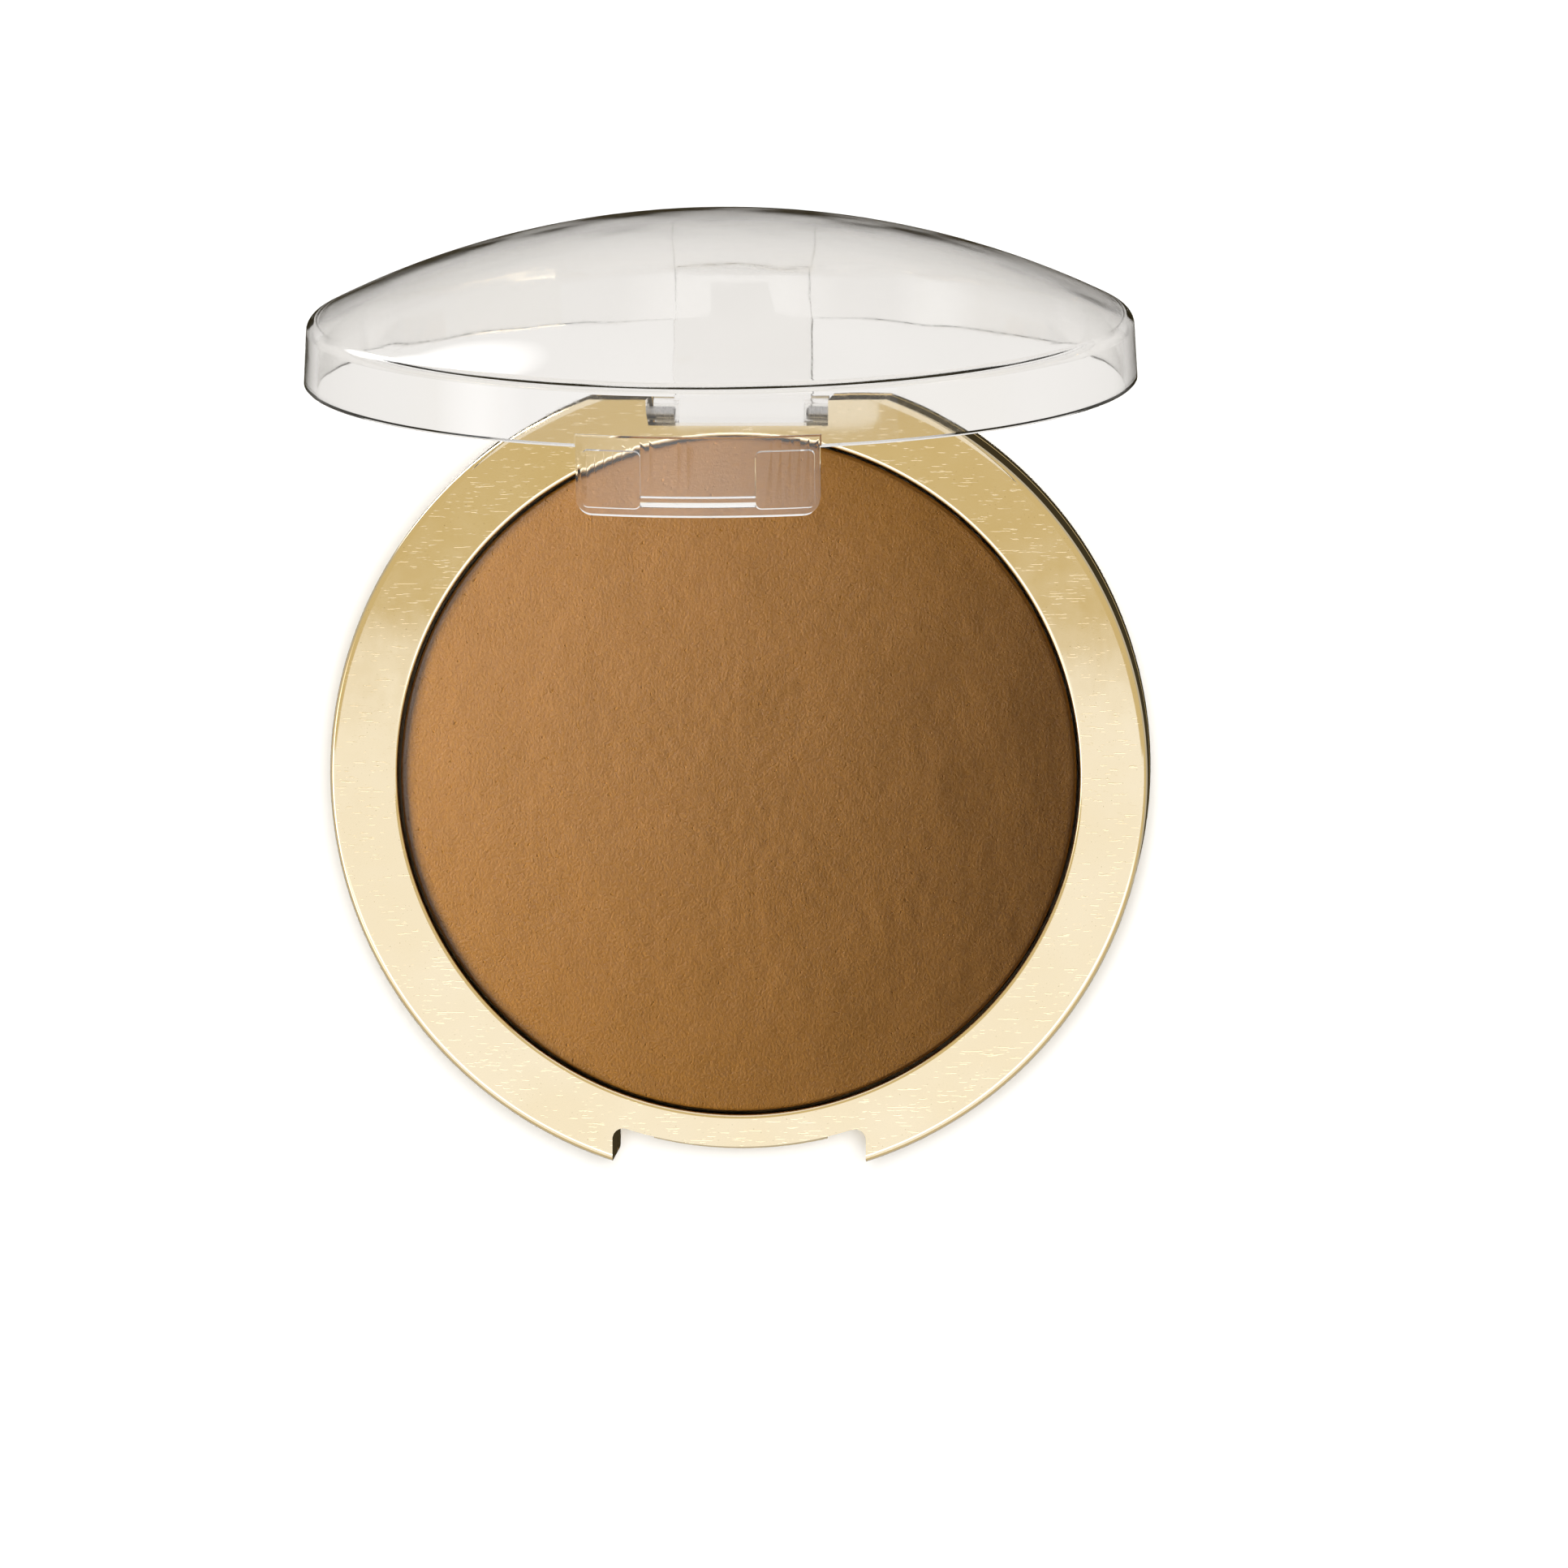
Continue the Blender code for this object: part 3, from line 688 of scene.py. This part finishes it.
def lid_shell_outline():
    """The (radius, height) outline of dome and rim wall, from the rim's inner edge round to it again."""
    rim_edge = 0.15 * MM
    inner_round = 0.5 * MM
    rim_inner = LID_RADIUS - LID_WALL
    side = LID_RADIUS - RIM_DRAFT
    dome = (side**2 + DOME_RISE**2) / (2 * DOME_RISE)
    centre = RIM_PLANE + RIM_HEIGHT + DOME_RISE - dome
    inner_dome = dome - LID_WALL
    outer_r, outer_z, touch = round_under_dome(dome, centre, side, DOME_ROUND)
    inner_r, inner_z, inner_touch = round_under_dome(inner_dome, centre, side - LID_WALL, inner_round)
    return (
        [(rim_inner, RIM_PLANE + rim_edge), (rim_inner + rim_edge, RIM_PLANE)]
        + [(LID_RADIUS - rim_edge, RIM_PLANE), (LID_RADIUS, RIM_PLANE + rim_edge)]
        + arc(outer_r, outer_z, DOME_ROUND, 0, touch, 12)
        + arc(0, centre, dome, touch, 90, 36)[1:]
        + arc(0, centre, inner_dome, 90, inner_touch, 36)
        + arc(inner_r, inner_z, inner_round, inner_touch, 0, ROUND_STEPS)[1:]
    )


def leaf_side():
    """The hinge leaf from the side, as (y, z): barrel round the axis, inner face, outer face and heel."""
    inner_y = BACK_FLAT + GAP
    outer_y = LID_RADIUS + 0.25 * MM
    top = RIM_PLANE + RIM_HEIGHT + 0.5 * MM
    barrel = arc(HINGE_Y, HINGE_Z, KNUCKLE_RADIUS, 270, 90, HINGE_STEPS // 2)
    inner_face = [
        (HINGE_Y + 1.2 * MM, HINGE_Z + 1.5 * MM),
        (inner_y, HINGE_Z + 2.6 * MM),
        (inner_y, RIM_PLANE - MM),
        (inner_y + MM, RIM_PLANE + MM),
        (inner_y + MM, top),
    ]
    outer_face = [
        (LID_RADIUS + 0.1 * MM, top),
        (outer_y, top - 0.5 * MM),
        (outer_y, RIM_PLANE),
        (HINGE_Y + 3.55 * MM, HINGE_Z + 0.3 * MM),
        (HINGE_Y + 3.3 * MM, HINGE_Z - 0.9 * MM),
        (HINGE_Y + 2.2 * MM, HINGE_Z - KNUCKLE_RADIUS),
    ]
    return barrel, inner_face, outer_face


def leaf_plate():
    """The leaf, with the long edges of its upright part rounded in three small steps."""
    barrel, inner_face, outer_face = leaf_side()
    outline = barrel + inner_face + outer_face
    bm = bmesh.new()
    near = [bm.verts.new((-LEAF_HALF_WIDTH, y, z)) for y, z in outline]
    far = [bm.verts.new((LEAF_HALF_WIDTH, y, z)) for y, z in outline]
    bm.faces.new(near)
    bm.faces.new(list(reversed(far)))
    for i in range(len(outline)):
        k = (i + 1) % len(outline)
        bm.faces.new((near[i], far[i], far[k], near[k]))
    first = outline.index(inner_face[1])
    last = outline.index(outer_face[2])
    edges = []
    for side in (near, far):
        for i in range(first, last):
            edges.append(bm.edges.get((side[i], side[i + 1])))
    bmesh.ops.bevel(bm, geom=edges, offset=LEAF_CHAMFER, segments=3, profile=0.5, affect="EDGES")
    return object_from(bm, "leaf")


def curved_plate(name, outline, inner, outer, low, high, reach):
    """A plate that curves round the base's front between two radii, cut to a front outline of (x, z)."""
    plate = turned(name, box_outline(inner, outer, low, high), 270 - reach, 270 + reach)
    shape = prism("front_shape", outline, -BASE_RADIUS - 2 * MM, -BASE_RADIUS + 10 * MM, axis="Y")
    combine(plate, shape, "INTERSECT")
    return plate


def tab_front():
    """The latch tab from the front, as (x, z), with its two lower corners rounded."""
    low = RIM_PLANE - TAB_LENGTH
    top = RIM_PLANE + 1.5 * MM
    corner_x = TAB_HALF_WIDTH - TAB_CORNER
    return (
        [(-TAB_HALF_WIDTH, top)]
        + arc(-corner_x, low + TAB_CORNER, TAB_CORNER, 180, 270, 10)
        + arc(corner_x, low + TAB_CORNER, TAB_CORNER, 270, 360, 10)
        + [(TAB_HALF_WIDTH, top)]
    )


def latch_bead(inner):
    """The half-round bead on the tab's inner face that snaps under the catch ridge."""
    z = RIM_PLANE - BEAD_DROP
    root = inner + 0.5 * MM
    outline = [(root, z - BEAD_RADIUS), (root, z + BEAD_RADIUS)]
    outline += arc(inner - 0.1 * MM, z, BEAD_RADIUS, 90, 270, ROUND_STEPS)
    reach = degrees(asin(BEAD_HALF_WIDTH / inner))
    return turned("bead", outline, 270 - reach, 270 + reach)


def end_block(inner, side, reach):
    """One of the two blocks at the ends of the tab's inner face."""
    low, top = RIM_PLANE - BLOCK_LOW_DROP, RIM_PLANE - BLOCK_TOP_DROP
    outline = rounded(box_outline(BLOCK_START, BLOCK_END, low, top), BLOCK_ROUND)
    front = [(side * x, z) for x, z in outline]
    face, root = inner - BLOCK_PROUD, inner + 0.4 * MM
    return curved_plate("block", front, face, root, RIM_PLANE - TAB_LENGTH, RIM_PLANE, reach)


def latch_tab():
    """A curved plate that carries on the rim wall downwards, with a bead and two end blocks inside."""
    inner = LID_RADIUS - TAB_THICKNESS
    reach = degrees(asin(TAB_HALF_WIDTH / inner)) + 3
    low = RIM_PLANE - TAB_LENGTH - MM
    tab = curved_plate("tab", tab_front(), inner, LID_RADIUS, low, RIM_PLANE + MM, reach)
    join(tab, latch_bead(inner))
    for side in (-1, 1):
        join(tab, end_block(inner, side, reach))
    return tab


def hinge_leaf():
    """The leaf and its knuckle, with a bore for each pin and the mark of the moulding gate."""
    leaf = leaf_plate()
    axis = (HINGE_Y, HINGE_Z)
    half = SLOT_HALF_WIDTH - GAP
    join(leaf, round_hole("knuckle", axis, KNUCKLE_RADIUS, -half, half, "X"))
    for side in (-1, 1):
        ends = sorted((side * (PIN_START - GAP), side * SLOT_HALF_WIDTH))
        cut(leaf, round_hole("pin_bore", axis, BORE_RADIUS, *ends, "X"))
    mark = (GATE_MARK_OFFSET, RIM_PLANE - GATE_MARK_DROP)
    face, outside = LID_RADIUS + 0.15 * MM, LID_RADIUS + MM
    cut(leaf, round_hole("gate_mark", mark, GATE_MARK_RADIUS, face, outside, "Y", steps=24))
    return leaf


def lid_moulding():
    """The clear lid: dome and rim wall, latch tab and hinge leaf in one moulding, turned open to rest."""
    lid = turned("lid_moulding", lid_shell_outline())
    join(lid, latch_tab())
    join(lid, hinge_leaf())
    axis = Matrix.Translation((0, HINGE_Y, HINGE_Z))
    opening = Matrix.Rotation(radians(-OPEN_ANGLE), 4, "X")
    lid.data.transform(axis @ opening @ axis.inverted())
    return lid


def pin(name, side):
    """A hinge pin with chamfered ends."""
    chamfer = 0.15 * MM
    length = PIN_END - PIN_START
    outline = [(0, 0), (PIN_RADIUS - chamfer, 0), (PIN_RADIUS, chamfer)]
    outline += [(PIN_RADIUS, length - chamfer), (PIN_RADIUS - chamfer, length), (0, length)]
    made = turned(name, outline, segments=PIN_SEGMENTS)
    start = PIN_START if side > 0 else -PIN_END
    place = Matrix.Translation((start, HINGE_Y, HINGE_Z))
    made.data.transform(place @ Matrix.Rotation(radians(90), 4, "Y"))
    return made


# The studio, in metres and degrees.

CAMERA_DISTANCE = 1.2
CAMERA_LEAN_X = 3.025
CAMERA_LEAN_Y = 5.368
CAMERA_ROLL = 0.133
CAMERA_AIM = Vector((4.271 * MM, -0.795 * MM, BASE_HEIGHT))
CAMERA_LENS = 297.0
FLOOR_HALF_SIZE = 4.0

# Each reflected card: its place, the point it faces, width, height, radiance and softness of its edges.
CARDS = {
    "overhead_card": ((-0.20, -1.341, 1.25), (-0.20, -1.341, 0.0), 3.6, 2.5, 1.0, 0.0),
    "top_card": ((0.0, -0.37, 1.20), (0.0, 0.03, 0.05), 1.9, 0.32, 3.0, 0.5),
    "left_card": ((-1.5, -0.30, 0.70), (0.0, 0.03, 0.05), 1.5, 0.9, 3.2, 0.9),
    "streak_card": ((-0.475, 0.56, -0.346), (-0.025, 0.042, 0.066), 0.66, 0.34, 17.0, 0.8),
}

# Each light, facing the middle of the base: its place, width, height, radiance and colour.
LIGHTS = {
    "key": ((-1.96, 0.0, 0.31), 1.4, 0.30, 138.0, (1.0, 0.99, 0.97)),
    "sheen_light": ((-0.58, 0.12, 1.15), 0.4, 0.4, 60.0, (1.0, 1.0, 1.0)),
    "floor_light": ((0.11, 0.19, 2.0), 0.6, 0.6, 42.0, (1.0, 1.0, 1.0)),
}

# What a reflection sees, by its direction from straight down at 0 to straight up at 1.
ROOM_IN_REFLECTIONS = [
    (0.0, (0.045, 0.034, 0.016)),
    (0.02, (0.050, 0.040, 0.020)),
    (0.10, (0.54, 0.52, 0.48)),
    (0.46, (0.52, 0.48, 0.40)),
    (0.56, (0.655, 0.545, 0.315)),
]
ROOM_THROUGH_LID = (0.94, 0.92, 0.895, 1.0)
ROOM_GLOW = (1.0, 0.86, 0.66, 1.0)
ROOM_STRENGTH = 0.05


def add_camera():
    """The camera looks down on the base, a little from the hinge side and from the right."""
    toward = Vector((tan(radians(CAMERA_LEAN_X)), tan(radians(CAMERA_LEAN_Y)), 1.0)).normalized()
    up_hint = Vector((sin(radians(CAMERA_ROLL)), cos(radians(CAMERA_ROLL)), 0.0))
    right = up_hint.cross(toward).normalized()
    up = toward.cross(right)
    place = CAMERA_AIM + toward * CAMERA_DISTANCE
    data = bpy.data.cameras.new("camera")
    data.lens = CAMERA_LENS
    data.sensor_width = 36.0
    data.clip_start = 0.05
    data.clip_end = 20.0
    camera = bpy.data.objects.new("camera", data)
    axes = Matrix((right, up, toward)).transposed().to_4x4()
    camera.matrix_world = Matrix.Translation(place) @ axes
    bpy.context.scene.collection.objects.link(camera)
    bpy.context.scene.camera = camera


def face_towards(made, place, aim):
    """Puts a card or light at a place, facing a point."""
    made.location = place
    made.rotation_mode = "QUATERNION"
    made.rotation_quaternion = (Vector(aim) - Vector(place)).to_track_quat("-Z", "Y")


def add_area(name):
    """A soft rectangular light whose surface has the radiance listed for it."""
    place, width, height, radiance, colour = LIGHTS[name]
    data = bpy.data.lights.new(name, "AREA")
    data.shape = "RECTANGLE"
    data.size = width
    data.size_y = height
    data.energy = radiance * pi * width * height
    data.color = colour
    light = bpy.data.objects.new(name, data)
    face_towards(light, place, (0, 0, 0))
    light.visible_camera = False
    bpy.context.scene.collection.objects.link(light)
    return light


def group_of(name, objects):
    group = bpy.data.collections.new(name)
    for member in objects:
        group.objects.link(member)
    return group


def flat_sheet(name, half_x, half_y, height=0.0):
    bm = bmesh.new()
    corners = box_outline(-half_x, half_x, -half_y, half_y)
    bm.faces.new([bm.verts.new((x, y, height)) for x, y in corners])
    return object_from(bm, name)


def add_floor():
    """A pale floor just under the base, left out of reflections and of what the clear lid shows."""
    floor = flat_sheet("floor", FLOOR_HALF_SIZE, FLOOR_HALF_SIZE, cad_low.z - 0.02 * MM)
    material, tree, shader = new_material("pale_floor")
    shader.inputs["Base Color"].default_value = (0.88, 0.88, 0.875, 1.0)
    shader.inputs["Roughness"].default_value = 0.7
    shader.inputs["Specular IOR Level"].default_value = 0.2
    floor.data.materials.append(material)
    floor.visible_glossy = False
    floor.visible_transmission = False
    return floor


def card_glow(name, width, height, radiance, soft):
    """A white glow. Where it is soft, it fades out in an ellipse towards the card's edges."""
    material = bpy.data.materials.new(name + "_glow")
    material.use_nodes = True
    tree = material.node_tree
    tree.nodes.clear()
    glow = node(tree, "ShaderNodeEmission", Color=(1.0, 1.0, 1.0, 1.0), Strength=radiance)
    shown = glow.outputs["Emission"]
    if soft:
        coordinates = tree.nodes.new("ShaderNodeTexCoord")
        mapping = tree.nodes.new("ShaderNodeMapping")
        mapping.inputs["Scale"].default_value = (2 / width, 2 / height, 1.0)
        tree.links.new(coordinates.outputs["Object"], mapping.inputs["Vector"])
        gradient = tree.nodes.new("ShaderNodeTexGradient")
        gradient.gradient_type = "SPHERICAL"
        tree.links.new(mapping.outputs["Vector"], gradient.inputs["Vector"])
        fade = range_of(tree, gradient.outputs["Fac"], 0.0, soft, 0.0, 1.0)
        clear = tree.nodes.new("ShaderNodeBsdfTransparent")
        shown = shader_mix(tree, fade, clear.outputs["BSDF"], shown)
    output = tree.nodes.new("ShaderNodeOutputMaterial")
    tree.links.new(shown, output.inputs["Surface"])
    return material


def add_card(name):
    """A glowing card that shows only in reflections."""
    place, aim, width, height, radiance, soft = CARDS[name]
    card = flat_sheet(name, width / 2, height / 2)
    face_towards(card, place, aim)
    card.data.materials.append(card_glow(name, width, height, radiance, soft))
    card.visible_camera = False
    card.visible_diffuse = False
    card.visible_transmission = False
    card.visible_shadow = False


def add_world():
    """A dim warm room for diffuse light, and a white one through the clear lid.

    Reflections see a room that is warm grey above, light grey around and nearly black straight down.
    """
    world = bpy.data.worlds.new("studio")
    world.use_nodes = True
    tree = world.node_tree
    room = tree.nodes["Background"]
    room.inputs["Color"].default_value = ROOM_GLOW
    room.inputs["Strength"].default_value = ROOM_STRENGTH
    direction = tree.nodes.new("ShaderNodeTexCoord")
    height = tree.nodes.new("ShaderNodeSeparateXYZ")
    tree.links.new(direction.outputs["Generated"], height.inputs["Vector"])
    level = range_of(tree, height.outputs["Z"], -1.0, 1.0, 0.0, 1.0)
    reflected = tree.nodes.new("ShaderNodeBackground")
    tree.links.new(ramp_of(tree, level, ROOM_IN_REFLECTIONS), reflected.inputs["Color"])
    seen_through = node(tree, "ShaderNodeBackground", Color=ROOM_THROUGH_LID)
    path = tree.nodes.new("ShaderNodeLightPath")
    shown = room.outputs["Background"]
    for kind, backdrop in (("Is Glossy Ray", reflected), ("Is Transmission Ray", seen_through)):
        shown = shader_mix(tree, path.outputs[kind], shown, backdrop.outputs["Background"])
    tree.links.new(shown, tree.nodes["World Output"].inputs["Surface"])
    bpy.context.scene.world = world


def add_lights(ring, cover, cake, floor):
    """A key for the opaque pieces, a light for the cake's gloss and a light for the floor."""
    solid = [ring, cover, cake]
    opaque = solid + [made for made in frame["nodes"].values() if made.name != "lid"]
    key = add_area("key")
    key.visible_glossy = False
    key.light_linking.receiver_collection = group_of("lit_by_key", opaque)
    sheen_light = add_area("sheen_light")
    sheen_light.visible_diffuse = False
    sheen_light.light_linking.receiver_collection = group_of("lit_by_sheen_light", [cake])
    floor_light = add_area("floor_light")
    floor_light.light_linking.receiver_collection = group_of("lit_by_floor_light", [floor])
    floor_light.light_linking.blocker_collection = group_of("shade_on_floor", solid)


def finished(piece, material, body, node_name, angle=30):
    """Shades a piece smooth up to an angle, sets its material and body, and hides the CAD node it replaces.
    """
    shade(piece, angle)
    piece.data.materials.clear()
    piece.data.materials.append(material)
    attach(piece, body)
    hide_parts(node_name)
    return piece


def main():
    add_camera()
    gold = gold_material("gold_metallised", 0.12)
    cover_gold = gold_material("gold_cover", 0.17)
    steel = steel_material()
    ring = finished(frame_ring(), gold, "base", "top_frame")
    cover = finished(lower_cover(), cover_gold, "base", "bottom_cover")
    cake = finished(powder_cake(), powder_material(), "base", "pressed_powder", 50)
    for name, side in (("left", -1), ("right", 1)):
        finished(pin("steel_pin_" + name, side), steel, "base", "hinge_pin_" + name)
    finished(lid_moulding(), lid_material(), "lid", "lid")
    for name, material in (
        ("powder_pan", aluminium_material()),
        ("pan_tray", tray_material()),
        ("pan_adhesive", foam_material()),
    ):
        kept = frame["nodes"][name]
        kept.data.materials.clear()
        kept.data.materials.append(material)
    floor = add_floor()
    add_world()
    for name in CARDS:
        add_card(name)
    add_lights(ring, cover, cake, floor)
    view = bpy.context.scene.view_settings
    view.view_transform = "Standard"
    view.look = "None"


main()
